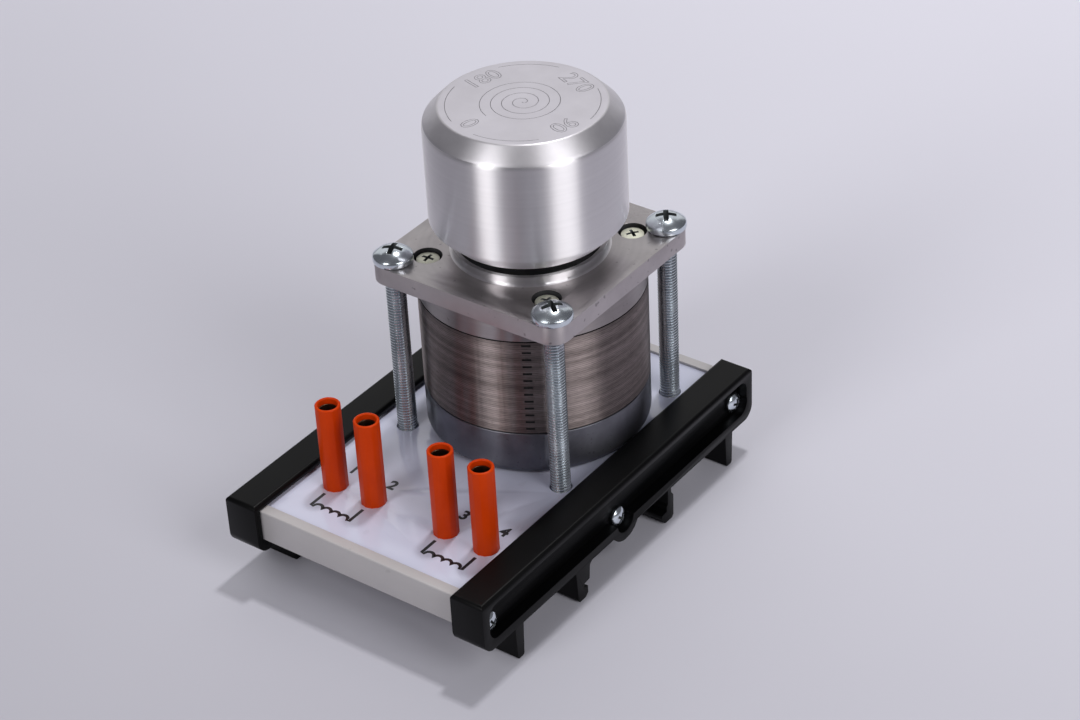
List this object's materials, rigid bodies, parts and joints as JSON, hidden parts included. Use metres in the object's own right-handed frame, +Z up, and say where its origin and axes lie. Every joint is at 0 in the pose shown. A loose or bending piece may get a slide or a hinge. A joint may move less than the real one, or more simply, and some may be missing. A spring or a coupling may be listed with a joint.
{
  "type": "demonstration stepping motor on a rail carrier",
  "caption": "Small round-bodied electric motor mounted upright on a rail carrier, with a turned dial knob on its shaft and a row of test sockets for its windings.",
  "frame": {"origin": "on the table, under the middle of the carrier's bounding box", "axes": "+Z up along the motor's axis; +Y along the carrier from the sockets to the motor; +X across, along the row of sockets"},
  "size_m": [0.0776, 0.1136, 0.1086],
  "materials": {
    "black_plastic": "satin moulded",
    "grey_profile": "extruded, matt",
    "white_plate": "smooth, glossy",
    "orange_plastic": "semi-gloss",
    "nickel_brass": "turned, bright",
    "zinc_steel": "zinc plated",
    "cast_alloy": "die cast, machined faces",
    "turned_alloy": "finely turned",
    "ground_laminations": "ground round",
    "core_steel": "ground",
    "magnet": "dark, matt",
    "copper_winding": "enamelled wire",
    "insulator_plastic": "moulded",
    "bearing_steel": "polished",
    "shaft_steel": "ground",
    "lead_red": "soft insulation",
    "lead_blue": "soft insulation",
    "lead_yellow": "soft insulation",
    "lead_green": "soft insulation",
    "black_rubber": "moulded",
    "black_steel": "blackened"
  },
  "bodies": {
    "carrier": {"assembly_screws": "zinc_steel", "carrier_profile": "grey_profile", "coil_1": "copper_winding", "coil_2": "copper_winding", "coil_3": "copper_winding", "coil_4": "copper_winding", "coil_5": "copper_winding", "coil_6": "copper_winding", "coil_7": "copper_winding", "coil_8": "copper_winding", "front_bearing_outer": "bearing_steel", "front_bearing_shields": "bearing_steel", "front_flange": "cast_alloy", "front_insulator": "insulator_plastic", "lead_1": "lead_red", "lead_2": "lead_yellow", "lead_3": "lead_blue", "lead_4": "lead_green", "lead_grommet": "black_rubber", "mounting_nuts": "zinc_steel", "mounting_screws": "zinc_steel", "mounting_washers": "zinc_steel", "preload_washer": "bearing_steel", "rear_bearing_outer": "bearing_steel", "rear_bearing_shields": "bearing_steel", "rear_bell": "cast_alloy", "rear_insulator": "insulator_plastic", "side_element_left": "black_plastic", "side_element_right": "black_plastic", "side_screws": "zinc_steel", "socket_contact_1": "nickel_brass", "socket_contact_2": "nickel_brass", "socket_contact_3": "nickel_brass", "socket_contact_4": "nickel_brass", "socket_sleeve_1": "orange_plastic", "socket_sleeve_2": "orange_plastic", "socket_sleeve_3": "orange_plastic", "socket_sleeve_4": "orange_plastic", "stator_laminations": "ground_laminations", "terminal_nuts": "zinc_steel", "terminal_plate": "white_plate"},
    "rotor": {"motor_shaft": "shaft_steel", "rotor_cup_front": "core_steel", "rotor_magnet": "magnet", "rotor_cup_rear": "core_steel", "front_bearing_inner": "bearing_steel", "rear_bearing_inner": "bearing_steel", "dial_knob": "turned_alloy", "knob_grub_screw": "black_steel"},
    "front_cage": {"front_bearing_balls": "bearing_steel", "front_bearing_cage": "nickel_brass"},
    "rear_cage": {"rear_bearing_balls": "bearing_steel", "rear_bearing_cage": "nickel_brass"}
  },
  "joints": [
    {"name": "rotor_spin", "type": "hinge", "parent": "carrier", "child": "rotor", "pos_m": [0.0013, 0.01663, 0.045], "axis": [0, 0, 1], "continuous": true},
    {"name": "front_cage_spin", "type": "hinge", "parent": "carrier", "child": "front_cage", "pos_m": [0.0013, 0.01663, 0.0635], "axis": [0, 0, 1], "continuous": true},
    {"name": "rear_cage_spin", "type": "hinge", "parent": "carrier", "child": "rear_cage", "pos_m": [0.0013, 0.01663, 0.0254], "axis": [0, 0, 1], "continuous": true}
  ],
  "couplings": [
    {"joint": "front_cage_spin", "follows": "rotor_spin", "ratio": 0.3929},
    {"joint": "rear_cage_spin", "follows": "rotor_spin", "ratio": 0.3929}
  ]
}
